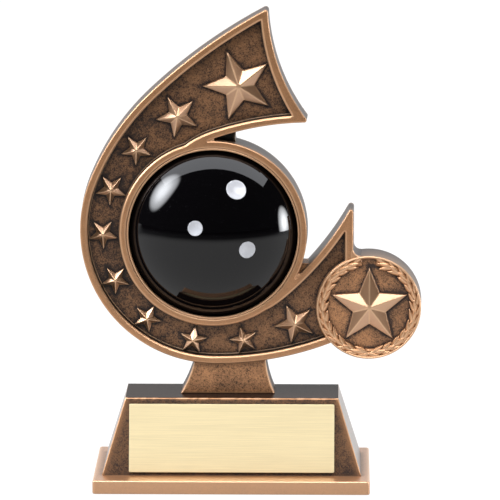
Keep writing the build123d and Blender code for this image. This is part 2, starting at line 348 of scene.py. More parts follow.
class Wire:
    """A shader socket that takes part in sums; each operation adds its Math node."""

    __add__, __radd__ = arithmetic("ADD")
    __sub__, __rsub__ = arithmetic("SUBTRACT")
    __mul__, __rmul__ = arithmetic("MULTIPLY")
    __truediv__, __rtruediv__ = arithmetic("DIVIDE")

    def __init__(self, graph, socket):
        self.graph, self.socket = graph, socket

    def at_most(self, limit):
        return self.graph.math("MINIMUM", self, limit)

    def at_least(self, limit):
        return self.graph.math("MAXIMUM", self, limit)

    def above(self, edge, width):
        """0 below the edge, rising to 1 over the width."""
        return self.graph.math("DIVIDE", self - edge, width, clamp=True)


class Graph:
    """The nodes of one material, lamp or world, up to its last node."""

    def __init__(self, owner, last="Principled BSDF"):
        owner.use_nodes = True
        self.owner, self.tree = owner, owner.node_tree
        self.last = self.tree.nodes[last]

    def node(self, kind, settings, sockets, output=0):
        """Adds a node of this type: its settings first, then the values or links of its sockets."""
        node = self.tree.nodes.new("ShaderNode" + kind)
        for name, value in settings.items():
            setattr(node, name, value)
        for name, value in sockets.items():
            self.put(node.inputs[name], value)
        return Wire(self, node.outputs[output])

    def put(self, socket, value):
        if isinstance(value, Wire):
            self.tree.links.new(value.socket, socket)
        elif socket.type == "RGBA":
            socket.default_value = (*value, 1.0)
        else:
            socket.default_value = value

    def math(self, operation, first, second, clamp=False):
        return self.node("Math", {"operation": operation, "use_clamp": clamp}, {0: first, 1: second})

    def fade(self, value, start, end, low=0.0, high=1.0):
        """A soft change from low at the start to high at the end."""
        ends = {"Value": value, "From Min": start, "From Max": end, "To Min": low, "To Max": high}
        return self.node("MapRange", {"interpolation_type": "SMOOTHSTEP"}, ends)

    def place(self, stretch=(1.0, 1.0, 1.0)):
        """Where a point is, in millimetres, stretched along the axes."""
        spot = self.node("TexCoord", {}, {}, "Object")
        return self.node("VectorMath", {"operation": "MULTIPLY"}, {0: spot, 1: [s / MM for s in stretch]})

    def noise(self, place, scale, detail=3.0, roughness=0.55):
        sockets = {"Vector": place, "Scale": scale, "Detail": detail, "Roughness": roughness}
        return self.node("TexNoise", {}, sockets, "Fac")

    def attribute(self, name):
        return self.node("Attribute", {"attribute_name": name}, {}, "Fac")

    def mix(self, share, first, second):
        return self.node("Mix", {"data_type": "RGBA"}, {0: share, 6: first, 7: second}, 2)

    def bump(self, height, strength, distance):
        sockets = {"Height": height, "Strength": strength, "Distance": distance * MM}
        return self.node("Bump", {}, sockets, "Normal")

    def finish(self, **values):
        """Sets or links the last node's sockets, and gives back what the nodes belong to."""
        for name, value in values.items():
            self.put(self.last.inputs[name.replace("_", " ")], value)
        return self.owner


def new_finish(name):
    return Graph(bpy.data.materials.new(name))


def aged_copper(name, tone, wash, light, speckle, grain, roughness, metallic, coat=0.25, index=1.5):
    """Copper paint under a dark wash, clouded and flecked, with rubbed edges, and painted shade with the wash
    in corners and hollows.
    """
    g = new_finish(name)
    place = g.place()
    wear, grime = g.attribute("wear"), g.attribute("grime")
    clouds = g.noise(place, 0.13, 3.0)
    mottle = g.noise(place, 0.8, 4.0, 0.7)
    flecks = g.noise(place, 2.3, 3.0, 0.75)
    spread = 0.75 * flecks.above(0.47, 0.16) + 0.4 * mottle.above(0.44, 0.22) + 0.3 * clouds.above(0.44, 0.2)
    # The second term paints shade, with the wash, into corners, hollows and under parts; the speckle in the
    # first is the paint's own.
    dark = (spread * speckle * (1 - wear) + grime * (mottle * 0.8 + 0.6)).at_most(1.0)
    paint = g.mix(dark, tone, wash)
    rubbed = (wear * (flecks * 0.9 + 0.45)).at_most(1.0)
    paint = g.mix(rubbed, paint, light)
    return g.finish(
        Base_Color=paint,
        Roughness=flecks * 0.14 + (roughness - 0.07) + grime * 0.15,
        Metallic=metallic,
        Normal=g.bump(mottle * 0.4 + flecks * 0.6, grain, 0.2),
        Coat_Roughness=0.28,
        Coat_IOR=1.8,
        Coat_Weight=coat,
        IOR=index,
    )


def shade(colour, share):
    return tuple(min(1.0, share * a) for a in colour)


def copper(kind):
    """
    One of the award's copper finishes, made once and shared. Each is its tone, wash and rubbed colour,
    speckle, grain, roughness and metallic, and then its coat and index where they aren't the usual ones.
    """
    if kind in bpy.data.materials:
        return bpy.data.materials[kind]
    tone, wash, light = colour("copper"), colour("wash"), colour("burnish")
    makers = {
        "rim_copper": (tone, shade(tone, 0.42), light, 0.6, 0.3, 0.42, 0.8),
        "floor_wash": (shade(tone, 0.66), wash, tone, 0.95, 0.8, 0.48, 0.5, 0.1),
        "wall_wash": (shade(wash, 0.4), shade(wash, 0.2), light, 0.4, 0.2, 0.26, 0.0, 0.0, 1.3),
        "side_wash": (shade(wash, 1.5), wash, light, 0.5, 0.2, 0.42, 0.0, 0.0),
        "top_gloss": (shade(wash, 0.9), shade(wash, 0.6), light, 0.5, 0.1, 0.22, 0.0, 0.0, 1.07),
        "star_copper": (shade(tone, 0.92), shade(tone, 0.5), light, 0.5, 0.12, 0.33, 0.88, 1.0),
        "edge_copper": (shade(light, 0.8), tone, light, 0.3, 0.05, 0.38, 0.8),
        "wreath_copper": (shade(tone, 1.12), shade(tone, 0.5), light, 0.45, 0.12, 0.40, 0.75),
        "medal_floor": (shade(tone, 1.15), shade(wash, 1.8), tone, 0.75, 0.6, 0.46, 0.5, 0.1),
        "block_copper": (shade(tone, 0.33), wash, tone, 1.2, 0.6, 0.48, 0.4, 0.05),
        "block_side": (shade(tone, 0.3), wash, tone, 1.1, 0.5, 0.44, 0.2, 0.8),
        "pedestal_copper": (shade(tone, 1.15), wash, light, 0.78, 0.7, 0.46, 0.55, 0.1),
        "plinth_copper": (shade(tone, 1.0), shade(tone, 0.5), light, 0.5, 0.2, 0.42, 0.75, 0.5),
    }
    return aged_copper(kind, *makers[kind])


# ---------------------------------------------------------------- sizes and colours
def length_property(name, description, default):
    return bpy.props.FloatProperty(
        name=name, description=description, default=default * MM, unit="LENGTH", min=0, precision=5
    )


class AwardSizes(bpy.types.PropertyGroup):
    """Small sizes of the casting's surface."""

    edge_roll: length_property("Edge roll", "Rounding of the rims' outer edge", 0.6)
    inner_bevel: length_property("Inner bevel", "Width of the bevel at the rims' inner edge", 0.8)
    draft: length_property("Draft", "How far the sides spread from the front to the back", 0.36)
    leaf_length: length_property("Leaf length", "Length of a wreath leaf", 5.6)
    leaf_width: length_property("Leaf width", "Width of a wreath leaf", 2.25)


def colour_property(name, description, default):
    return bpy.props.FloatVectorProperty(
        name=name, description=description, default=default, subtype="COLOR", size=3, min=0, max=1
    )


class AwardFinish(bpy.types.PropertyGroup):
    """The award's colours."""

    copper: colour_property("Copper", "Paint on the raised faces", (0.460, 0.222, 0.097))
    # The wash colour is also the colour of the painted shade in hollows, under parts and across the floors'
    # darker sides.
    wash: colour_property("Wash", "Dark wash in the low places", (0.020, 0.011, 0.008))
    burnish: colour_property("Burnish", "Rubbed edges", (0.70, 0.44, 0.26))
    ball: colour_property("Ball", "Ball", (0.0015, 0.0012, 0.0016))
    spots: colour_property("Finger holes", "Insets of the finger holes", (0.42, 0.43, 0.46))
    plate: colour_property("Plate", "Engraving plate", (0.855, 0.72, 0.43))


def size(name):
    """One of the award's small sizes, in millimetres."""
    return getattr(bpy.context.scene.award_sizes, name) / MM


def colour(name):
    return tuple(getattr(bpy.context.scene.award_finish, name))


# ---------------------------------------------------------------- pieces
def front_circle(node):
    """Centre, as X and Z, and radius of a round node that faces the front."""
    low, high = box_mm(node)
    return ((low.x + high.x) / 2, (low.z + high.z) / 2), (high.x - low.x) / 2


def plaque_outlines():
    """The outlines of the plaque and of its sunken floor, each closed just inside the medallion's edge."""
    front = box_mm("comet_frame")[0].y
    loop = flat_loops("comet_frame", front, -1)[0]
    centre, radius = front_circle("medallion_disc")
    middle = np.array(centre)
    on = np.abs(np.linalg.norm(loop - middle, axis=1) - radius) < 0.05
    start = next(i for i in range(len(loop)) if on[i] and not on[(i + 1) % len(loop)])
    loop, on = np.roll(loop, -start, 0), np.roll(on, -start)
    runs, run = [], []
    for point, touching in zip(list(loop) + [loop[0]], list(on) + [True]):
        run.append(point)
        if touching:
            if len(run) > 3:
                runs.append(np.array(run))
            run = [point]
    runs.sort(key=lambda r: r[:, 0].min())
    closed = []
    for run, under in zip(runs[:2], (0.45, 0.3)):
        start = math.atan2(*(run[-1] - middle)[::-1])
        end = math.atan2(*(run[0] - middle)[::-1])
        sweep = (end - start + math.pi) % (2 * math.pi) - math.pi
        turns = start + sweep * np.linspace(0, 1, 30)
        arc = middle + (radius - under) * np.stack([np.cos(turns), np.sin(turns)], 1)
        closed.append(forward(np.vstack([run, arc])))
    return closed


class AWARD_OT_plaque(bpy.types.Operator):
    """Build the comet plaque: rims, sunken floor, ring, tail, horn and the two webs"""

    bl_idname = "award.plaque"
    bl_label = "Plaque"

    # The tail thins from this height upwards, by this much at its tip.
    thin_from, thin_by = 125.0, 5.0
    # Corners of the webs in the two notches, as X and Z; the last two face the open gap.
    webs = (
        ((-10.5, 130.6), (-9.5, 127.0), (2.0, 126.2), (2.0, 133.6)),
        ((24.5, 75.0), (21.5, 76.0), (24.2, 83.1), (31.2, 83.1)),
    )
    web_front = -2.0
    # The narrow end of each notch, and how far its filling reaches along the outline.
    notches = (((-9.5, 128.8), 4.8), ((22.6, 75.6), 3.6))
    # Points on the outline are this far apart.
    step = 0.7

    def execute(self, context):
        low, high = box_mm("comet_frame")
        front, back = low.y, high.y
        outer, floor = [resample(loop, self.step) for loop in plaque_outlines()]
        floor_y = box_mm("band_star_01")[1].y

        def behind(share):
            """A depth between the front and the back, which comes forward towards the tail's tip."""

            def depth(loop):
                top = high.z + 1.5
                rise = np.clip((np.array(loop)[:, 1] - self.thin_from) / (top - self.thin_from), 0, 1)
                return front + (back - self.thin_by * rise - front) * share

            return depth

        shell = Shell()
        rim, rear = self.rim_and_side(shell, outer, front, behind)
        brow, foot = self.inner_wall(shell, floor, front, floor_y)
        mouth = self.ring(shell, front)
        shell.fill([rim, brow, mouth], front, 2.2)
        relief = [resample(flat_loops(n, box_mm(n)[1].y, 1)[0], 0.5) for n in band_stars()]
        # Wash and painted shade darken the floor beside the recess outline and around the stars.
        edge_shade_and_wash = shade_and_wash_near([floor] + relief, 0.75, 0.9)

        def painted_shade_and_wash(spots):
            """Wash and painted shade beside the outlines, with more painted shade on the left, under the
            bend, and the least in the tail.
            """
            return np.minimum(edge_shade_and_wash(spots) + 0.28 * np.clip((-15 - spots[:, 0]) / 25, 0, 1), 1)

        shell.fill([foot], floor_y, 0.95, 1, 0.0, painted_shade_and_wash)
        shell.fill([rear], behind(1.0), 4.0, 4)
        finishes = [copper(k) for k in ("rim_copper", "floor_wash", "side_wash", "wall_wash", "block_copper")]
        shell.piece("plaque", finishes, "antique_bronze", ["comet_frame"])
        for number, corners in enumerate(self.webs, 1):
            self.web(number, corners, back)
        for number, (near, reach) in enumerate(self.notches, 1):
            self.filling(number, outer, near, reach, front)
        self.flare(outer, front, back)
        return {"FINISHED"}

    def rim_and_side(self, shell, outer, front, behind):
        """The rolled outer edge and the drafted side; gives back the rings at the front and at the back."""
        roll, draft = size("edge_roll"), size("draft")
        turned = (0.03, front + 1.5 * roll, 0.15, 0.1)
        rim = shell.stations(
            outer,
            [
                (-1.15 * roll, front, 0.05, 0),
                (-0.6 * roll, front + 0.04 * roll, 0.3, 0),
                (-0.22 * roll, front + 0.22 * roll, 0.5, 0),
                (0.0, front + 0.65 * roll, 0.35, 0),
                turned,
            ],
        )
        side = shell.stations(
            outer,
            [
                turned,
                (0.4 * draft, behind(0.4), 0, 0),
                (0.8 * draft, behind(0.8), 0, 0),
                (draft, behind(0.965), 0.3, 0),
                (0.5 * draft, behind(0.993), 0.6, 0),
                (-0.3, behind(1.0), 0.1, 0),
            ],
            2,
        )
        return rim[0], side[-1]

    def inner_wall(self, shell, floor, front, floor_y):
        """The bevel inside the rims and the dark wall under it; gives back its top and bottom rings."""
        bevel = size("inner_bevel")
        turned = (0.0, front + 0.62, 0.3, 0.5)
        wall = shell.stations(
            floor,
            [
                (1.05 * bevel, front, 0.1, 0),
                (0.8 * bevel, front + 0.03, 0.45, 0),
                (0.12 * bevel, front + 0.36, 0.5, 0),
                turned,
            ],
        )
        # The wall and the corner at its foot are darkened with painted shade and the wash.
        foot = shell.stations(
            floor,
            [
                turned,
                (-0.02, front + 1.2, 0, 1.0),
                (-0.10, floor_y - 0.5, 0, 1.0),
                (-0.16, floor_y - 0.16, 0.25, 0.2),
                (-0.32, floor_y - 0.02, 0.45, 0),
                (-0.42, floor_y, 0, 0.6),
            ],
            3,
        )
        return wall[0], foot[-1]

    def ring(self, shell, front):
        """The ring's inner step and the ball's seat; gives back the ring's front edge."""
        centre, radius = front_circle("ball_bezel")
        seat = front + 7.0
        # The bore behind the step is darkened with painted shade and the wash.
        rings = shell.lathe(
            centre,
            [
                (radius + 0.85, front, 0.1, 0),
                (radius + 0.45, front + 0.03, 0.6, 0),
                (radius + 0.17, front + 0.16, 1.0, 0),
                (radius + 0.03, front + 0.42, 0.6, 0.2),
                (radius, front + 1.0, 0, 1.0),
                (radius, seat, 0, 1.0),
            ],
            360,
        )
        shell.fan(rings[-1], shell.add((centre[0], seat, centre[1])), 3)
        return rings[0]

    def flare(self, outer, front, back):
        """The small concave flare where the horn's right side runs into the medallion."""
        centre, radius = front_circle("medallion_disc")
        side = outer[outer[:, 1] > centre[1] + radius + 4][:, 0].max()
        low = centre[1] + math.sqrt(radius**2 - (side - centre[0]) ** 2)
        curve = [(side + 2.8 * (1 - t) ** 1.6, low + 0.75 + 2.6 * t**1.8) for t in np.linspace(0, 1, 12)]
        loop = forward([(side - 1.2, low - 0.9), (side + 2.8, low + 0.1), *curve, (side - 1.2, low + 3.35)])
        shell = Shell()
        turned = (0.05, front + 1.2, 0, 0)
        rows = [(-0.45, front - 0.02, 0.5, 0), (-0.12, front + 0.12, 1.0, 0), (0, front + 0.5, 0.6, 0)]
        face = shell.stations(loop, [*rows, turned])
        rest = shell.stations(loop, [turned, (0.36, back - 0.5, 0, 0), (0.1, back, 0.1, 0)], 1)
        shell.fill([face[0]], front - 0.02, 0.8, 0, 0.4)
        shell.fill([rest[-1]], back, 2.0, 2)
        finishes = [copper(k) for k in ("rim_copper", "side_wash", "block_copper")]
        shell.piece("horn_flare", finishes, "antique_bronze")

    def filling(self, number, outer, near, reach, front):
        """A small copper filling in the narrow end of a notch, a little under the front."""
        tip = int(np.argmin(((outer - near) ** 2).sum(1)))
        steps = int(reach / self.step) + 1
        one = [outer[(tip + k) % len(outer)] for k in range(steps)]
        other = [outer[tip - k] for k in range(1, steps)]
        a, b = one[-1], other[-1]
        hollow = 0.30 * (outer[tip] - (a + b) / 2)
        dip = [a + (b - a) * t + hollow * math.sin(math.pi * t) for t in (0.25, 0.5, 0.75)]
        loop = forward(one + dip + other[::-1])
        shell = Shell()
        # Painted shade, with the wash, deepens towards the back of the notch.
        rows = [(0.25, front + 0.35, 0.4, 0), (0.3, front + 0.8, 0.2, 0.3), (0.3, front + 5.0, 0, 0.9)]
        rings = shell.stations(loop, rows)
        shell.fill([rings[0]], front + 0.3, 0.6, 0, 0.6)
        shell.piece(f"fillet_{number}", [copper("rim_copper")], "antique_bronze")

    def web(self, number, corners, back):
        """A thin wall that closes a notch beside the ring, standing back from the front."""
        corners = [np.array(c) for c in corners]
        a, b = corners[2:]
        inward = (corners[0] + corners[1]) / 2 - (a + b) / 2
        inward *= 0.9 / np.linalg.norm(inward)
        hollow = [a + (b - a) * t + inward * math.sin(math.pi * t) for t in np.linspace(0, 1, 12)[1:]]
        loop = forward(corners[:3] + hollow)
        front = self.web_front
        shell = Shell()
        # The web's edges take painted shade with the wash, where it sits back in the notch.
        rings = shell.stations(
            loop,
            [
                (-0.25, front, 0.1, 0.5),
                (-0.05, front + 0.1, 0.6, 0.2),
                (0, front + 0.4, 0, 0.6),
                (0.05, back - 0.4, 0, 0.4),
                (-0.1, back - 0.1, 0.2, 0),
            ],
        )
        shell.fill([rings[0]], front, 1.0)
        shell.fill([rings[-1]], back - 0.1, 2.0)
        finish = copper(("wall_wash", "medal_floor")[number - 1])
        shell.piece(f"web_{number}", [finish], "antique_bronze")


def band_stars():
    return sorted(n for n in frame["nodes"] if n.startswith("band_star_"))


def star_piece(node, rounding):
    """A ridged star on upright walls, from its CAD node's corners and peak."""
    foot_y = box_mm(node)[1].y
    spots = [v.co / MM for v in frame["nodes"][node].data.vertices]
    peak = min(spots, key=lambda c: c.y)
    brow_y = max(c.y for c in spots if c.y < foot_y - 0.3)
    corners = flat_loops(node, foot_y, 1)[0]
    middle = np.array([peak.x, peak.z])
    shell = Shell()
    # The star's foot is darkened with painted shade and the wash where it meets the floor.
    foot = shell.ring(corners, foot_y + 0.25, 0, 0.9)
    brow = shell.ring(middle + (corners - middle) * 0.965, brow_y, 0.2, 0)
    shell.tube([foot, brow])
    shell.fan(brow, shell.add(peak, 0.4, 0))
    shell.face(foot)
    finishes = [copper("star_copper"), copper("edge_copper")]
    return shell.piece(node.replace("_star", "_relief"), finishes, "bright_bronze", [node], bevel=rounding)


class AWARD_OT_stars(bpy.types.Operator):
    """Build the ten relief stars on the band"""

    bl_idname = "award.stars"
    bl_label = "Stars"

    def execute(self, context):
        for name in band_stars():
            low, high = box_mm(name)
            star_piece(name, 0.012 * (high.x - low.x) + 0.06)
        return {"FINISHED"}


class AWARD_OT_ball(bpy.types.Operator):
    """Build the half ball, its three finger-hole insets and the bezel around it"""

    bl_idname = "award.ball"
    bl_label = "Ball"

    insets = ("thumb_hole_inset", "middle_finger_inset", "ring_finger_inset")
    # The cap's edge and its skirt lie this far inside the bezel's outer edge.
    edge_in, skirt_in = 1.35, 1.18

    def execute(self, context):
        self.sphere()
        self.dome()
        self.dishes()
        self.bezel()
        return {"FINISHED"}

    def sphere(self):
        """Centre and radius of the ball, from the front and the edge of its CAD cap."""
        low, high = box_mm("ball_dome")
        self.rim_y = box_mm("ball_bezel")[1].y
        middle = (low + high) / 2
        spots = [v.co / MM for v in frame["nodes"]["ball_dome"].data.vertices]
        cap = [p for p in spots if p.y < self.rim_y - 0.01]
        across, rise = max((math.hypot(p.x - middle.x, p.z - middle.z), p.y - low.y) for p in cap)
        self.radius = (across**2 + rise**2) / (2 * rise)
        self.centre = Vector((middle.x, low.y + self.radius, middle.z))

    def seat(self, reach):
        """How far from the ball's centre a hole of this radius lies."""
        return math.sqrt(self.radius**2 - reach**2)

    def holes(self):
        """Each inset with its direction from the ball's centre and its radius."""
        for node in self.insets:
            spots = [v.co / MM - self.centre for v in frame["nodes"][node].data.vertices]
            way = sum(spots, Vector()).normalized()
            yield node, way, max((p - way * p.dot(way)).length for p in spots)

    def onto(self, flat):
        """From a flat map of the cap, in angle from its middle, to the sphere."""
        angle, turn = math.hypot(*flat), math.atan2(flat[1], flat[0])
        x, z = math.sin(angle) * math.cos(turn), math.sin(angle) * math.sin(turn)
        return self.centre + self.radius * Vector((x, -math.cos(angle), z))

    def flatten(self, point):
        """From the sphere to the flat map."""
        way = (point - self.centre).normalized()
        angle, turn = math.acos(max(-1.0, min(1.0, -way.y))), math.atan2(way.z, way.x)
        return angle * math.cos(turn), angle * math.sin(turn)

    def dome(self):
        """The black cap with its open holes, the holes' walls and a short skirt behind the bezel."""
        outer = front_circle("ball_bezel")[1]
        shell = Shell()
        rim = shell.ring(circle((0, 0), math.asin((outer - self.edge_in) / self.radius), 300), 0)
        rings, walls = [rim], []
        for _, way, reach in self.holes():
            edge = hoop(self.centre + way * self.seat(reach), way, reach)
            walls.append((way, edge))
            rings.append(shell.ring([self.flatten(p) for p in edge], 0))
        shell.fill(rings, 0.0, 0.028)
        shell.points = [tuple(self.onto((p[0], p[2]))) for p in shell.points]
        for (way, edge), lip in zip(walls, rings[1:]):
            deeper = [[shell.add(p - way * deep) for p in edge] for deep in (0.12, 0.5)]
            shell.tube([lip, *deeper])
        middle, skirt = (self.centre.x, self.centre.z), outer - self.skirt_in
        rows = ((skirt - 0.04, self.rim_y - 0.02), (skirt, self.rim_y + 0.2), (skirt, self.rim_y + 3.4))
        shell.tube([rim] + [shell.ring(circle(middle, radius, 300), y) for radius, y in rows])
        dome = shell.piece("half_ball", [self.black()], "ball_black", ["ball_dome"], soften=False)
        normals = []
        for v in dome.data.vertices:
            way = v.co / MM - self.centre
            on_cap = abs(way.length - self.radius) < 0.01
            normals.append(way.normalized() if on_cap else v.normal)
        dome.data.normals_split_custom_set_from_vertices(normals)

    def black(self):
        g = new_finish("ball_black")
        place = g.place()
        haze = g.noise(place, 0.12, 3.0)
        dust = g.noise(place, 2.4, 2.0, 0.6).above(0.70, 0.05)
        return g.finish(
            Base_Color=g.mix(dust * 0.5, colour("ball"), (0.05, 0.05, 0.055)),
            Roughness=haze * 0.03 + dust * 0.2 + 0.015,
            IOR=1.40,
            Normal=g.bump(g.noise(place, 0.2, 1.0), 0.03, 0.3),
        )

    def dishes(self):
        """Dished white insets, set just under the ball's surface."""
        g = new_finish("pearl_white")
        soft = g.noise(g.place(), 0.5, 3.0)
        white = g.finish(
            Base_Color=g.mix(soft.above(0.45, 0.4) * 0.5, colour("spots"), shade(colour("spots"), 0.88)),
            Roughness=soft * 0.1 + 0.22,
            Normal=g.bump(soft, 0.05, 0.2),
            Coat_Weight=0.3,
        )
        rows = (
            (0.995, -0.6),
            (0.99, -0.10),
            (0.965, -0.02),
            (0.90, -0.03),
            (0.75, -0.16),
            (0.55, -0.34),
            (0.35, -0.46),
            (0.15, -0.51),
        )
        for node, way, reach in self.holes():
            base = self.centre + way * self.seat(reach)
            shell = Shell()
            rings = []
            for share, out in rows:
                rings.append([shell.add(p) for p in hoop(base + way * out, way, reach * share)])
            shell.tube(rings)
            shell.fan(rings[-1], shell.add(base - way * 0.52))
            shell.piece(node.replace("_inset", "_dish"), [white], "pearl_white", [node], soften=False)

    def bezel(self):
        """The thin ring with two rounded edges around the ball."""
        front = box_mm("ball_bezel")[0].y
        centre, outer = front_circle("ball_bezel")
        # The rows behind the front take painted shade with the wash, beside the ball.
        rows = (
            (0.02, 1.5, 0, 1.0),
            (0.02, 0.22, 0, 1.0),
            (0.10, 0.06, 0.6, 0.2),
            (0.24, 0.0, 0.9, 0),
            (0.55, 0.0, 0.5, 0),
            (0.72, 0.08, 1.0, 0),
            (0.82, 0.3, 0.5, 0.3),
            (0.85, 2.0, 0, 1.0),
            (0.02, 2.0, 0, 1.0),
            (0.02, 1.5, 0, 1.0),
        )
        shell = Shell()
        turned = [(outer - into, front + deep, wear, grime) for into, deep, wear, grime in rows]
        shell.lathe(centre, turned, 360)
        shell.piece("bezel_ring", [copper("rim_copper")], "bright_bronze", ["ball_bezel"])


class AWARD_OT_medallion(bpy.types.Operator):
    """Build the medallion: its disc, the leafy wreath with berries, and the star"""

    bl_idname = "award.medallion"
    bl_label = "Medallion"

    def execute(self, context):
        centre, radius = front_circle("medallion_disc")
        low, high = box_mm("medallion_disc")
        floor_y, back = low.y, high.y
        shell = Shell()
        # The rows under the wreath take painted shade with the wash, where the wreath meets the disc's rise.
        rings = shell.lathe(
            centre,
            [
                (17.9, floor_y, 0, 0.7),
                (18.2, floor_y - 0.5, 0, 0.9),
                (18.5, floor_y - 1.2, 0.2, 0.4),
                (radius - 0.7, floor_y - 1.7, 0.7, 0),
                (radius - 0.35, floor_y - 1.8, 1.0, 0),
                (radius - 0.08, floor_y - 1.55, 0.8, 0),
                (radius, floor_y - 1.1, 0.2, 0.1),
            ],
            300,
        )
        skirt = shell.lathe(
            centre,
            [
                (radius, floor_y - 1.1, 0.2, 0.1),
                (radius + 0.3, back - 0.6, 0, 0),
                (radius + 0.2, back - 0.15, 0.5, 0),
                (radius - 0.2, back, 0.1, 0),
            ],
            300,
            2,
        )
        relief = resample(flat_loops("medallion_star", floor_y, 1)[0], 0.5)
        inner = circle(centre, 15.6, 200)
        # Wash and painted shade darken the floor beside the star and along the wreath's inner edge.
        edge_shade_and_wash = shade_and_wash_near([relief, inner], 0.75, 0.85)

        def painted_shade_and_wash(spots):
            """Wash and painted shade beside the outlines, with painted shade added towards the right of the
            disc.
            """
            return np.minimum(edge_shade_and_wash(spots) + 0.3 * np.clip((spots[:, 0] - centre[0] + 6) / 18, 0, 1), 1)

        shell.fill([rings[0]], floor_y, 0.9, 1, 0.0, painted_shade_and_wash)
        shell.fill([skirt[-1]], back, 3.0, 3)
        finishes = [copper(k) for k in ("wreath_copper", "medal_floor", "side_wash", "block_copper")]
        shell.piece("medallion", finishes, "antique_bronze", ["medallion_disc"])
        self.wreath(centre, floor_y)
        star_piece("medallion_star", 0.30)
        return {"FINISHED"}

    def leaf(self, shell, centre, place, turn, r, splay, length, width, base_y, lift):
        """One leaf, ridged down its middle, lying over the foot of the next."""
        rows, across = 9, 7
        ids = []
        start = math.radians(place)
        for i in range(rows):
            t = i / (rows - 1)
            half = 0.5 * width * max(0.03, math.sin(math.pi * t**0.8)) ** 0.85
            angle = start + turn * (t - 0.5) * length / r
            spread = splay * (t - 0.5) * length
            line = []
            for j in range(across):
                u = 2 * j / (across - 1) - 1
                rr = r + spread + u * half
                crown = (1 - abs(u) ** 1.6) * 0.42 + (0.12 if j == across // 2 else 0)
                y = base_y - lift * t - crown * math.sin(math.pi * min(1.0, 0.15 + 0.8 * t))
                point = (centre[0] + rr * math.cos(angle), y, centre[1] + rr * math.sin(angle))
                rub = 1.0 if j == across // 2 else max(0.0, 0.7 - abs(u))
                # Leaf edges take some painted shade with the wash.
                line.append(shell.add(point, rub, 0.4 if abs(u) > 0.9 else 0.0))
            ids.append(line)
        shell.grid(ids)
        skirt = ids[0] + [line[-1] for line in ids[1:]] + ids[-1][-2::-1] + [line[0] for line in ids[-2:0:-1]]
        # The wall under each leaf is darkened with painted shade and the wash.
        under = [shell.add((shell.points[i][0], base_y + 1.1, shell.points[i][2]), 0, 1.0) for i in skirt]
        shell.tube([skirt, under])

    def bed(self, shell, centre, floor_y):
        """The C-shaped rise that the leaves lie on, open at the top."""
        turns = np.radians(np.linspace(90 + 9, 90 + 351, 220))
        profile = (
            (15.75, 0.0),
            (15.85, 0.7),
            (16.4, 1.05),
            (17.3, 1.2),
            (18.2, 1.2),
            (18.7, 0.9),
            (18.8, 0.0),
        )
        rows = []
        # The bed between the leaves takes a little painted shade with the wash.
        for r, rise in profile:
            arc = [(centre[0] + r * math.cos(a), centre[1] + r * math.sin(a)) for a in turns]
            rows.append(shell.ring(arc, floor_y - rise, 0.0, 0.3))
        shell.grid(rows)
        for end in (0, -1):
            shell.face([row[end] for row in rows])

    def wreath(self, centre, floor_y):
        """Three rows of leaves on each side, and two berries at the open end."""
        luck = random.Random(7)
        shell = Shell()
        self.bed(shell, centre, floor_y)
        base = floor_y - 1.15
        for turn in (1, -1):
            rows = ((18.05, 0.34, -0.02), (16.45, -0.40, 0.0), (17.2, 0.02, 0.22))
            for row, (r, splay, lift) in enumerate(rows):
                for k in range(13):
                    along = 6.0 + 13.2 * k + (0.0, 4.4, 8.8)[row]
                    if along > 167:
                        continue
                    place = -90 + turn * (along + luck.uniform(-1.2, 1.2))
                    length = size("leaf_length") * luck.uniform(0.82, 1.12)
                    width = size("leaf_width") * luck.uniform(0.88, 1.12)
                    tilt = splay + luck.uniform(-0.12, 0.12)
                    self.leaf(shell, centre, place, turn, r, tilt, length, width, base - lift, 0.3)
        for place, r, girth in ((103.0, 16.5, 0.5), (106.0, 15.6, 0.42)):
            a = math.radians(place)
            spot = (centre[0] + r * math.cos(a), centre[1] + r * math.sin(a))
            # Painted shade, with the wash, at each berry's foot.
            rows = [(girth, floor_y + 0.1, 0, 0.9)]
            for t in np.linspace(1.57, 0.12, 6):
                out, rise = girth * math.sin(t), girth * math.cos(t)
                rows.append((out, floor_y - 0.3 - rise, 0.2 + 0.6 * math.cos(t), 0))
            berry = shell.lathe(spot, rows, 16)
            shell.fan(berry[-1], shell.add((spot[0], floor_y - 0.3 - girth, spot[1]), 1.0))
        shell.piece("wreath", [copper("wreath_copper")], "bright_bronze", ["medallion_wreath"], weld=1e-7)


class AWARD_OT_pedestal(bpy.types.Operator):
    """Build the short flared pedestal under the plaque"""

    bl_idname = "award.pedestal"
    bl_label = "Pedestal"

    def execute(self, context):
        low, high = box_mm("pedestal")
        outline = resample(flat_loops("pedestal", low.y, -1)[0], 0.8)
        shell = Shell()
        # The sides going back take painted shade with the wash.
        rows = [
            (-0.7, low.y, 0, 0),
            (-0.3, low.y + 0.04, 0.5, 0),
            (-0.08, low.y + 0.2, 0.9, 0),
            (0.0, low.y + 0.6, 0.3, 0.1),
            (0.1, low.y + 5.0, 0, 0.8),
            (0.2, high.y - 0.5, 0, 0.8),
            (-0.2, high.y, 0.3, 0),
        ]
        rings = shell.stations(outline, rows)
        tall = high.z - low.z

        def painted_shade_and_wash(spots):
            """Darker towards the foot, and a painted shadow right under the plaque."""
            rise = (spots[:, 1] - low.z) / tall
            return 0.30 * np.clip(1.0 - 1.7 * rise, 0, 1) + 0.5 * np.clip((rise - 0.8) / 0.2, 0, 1) ** 2

        shell.fill([rings[0]], low.y, 1.1, grime=painted_shade_and_wash)
        shell.fill([rings[-1]], high.y, 3.0)
        shell.piece("pedestal_casting", [copper("pedestal_copper")], "antique_bronze", ["pedestal"])
        return {"FINISHED"}


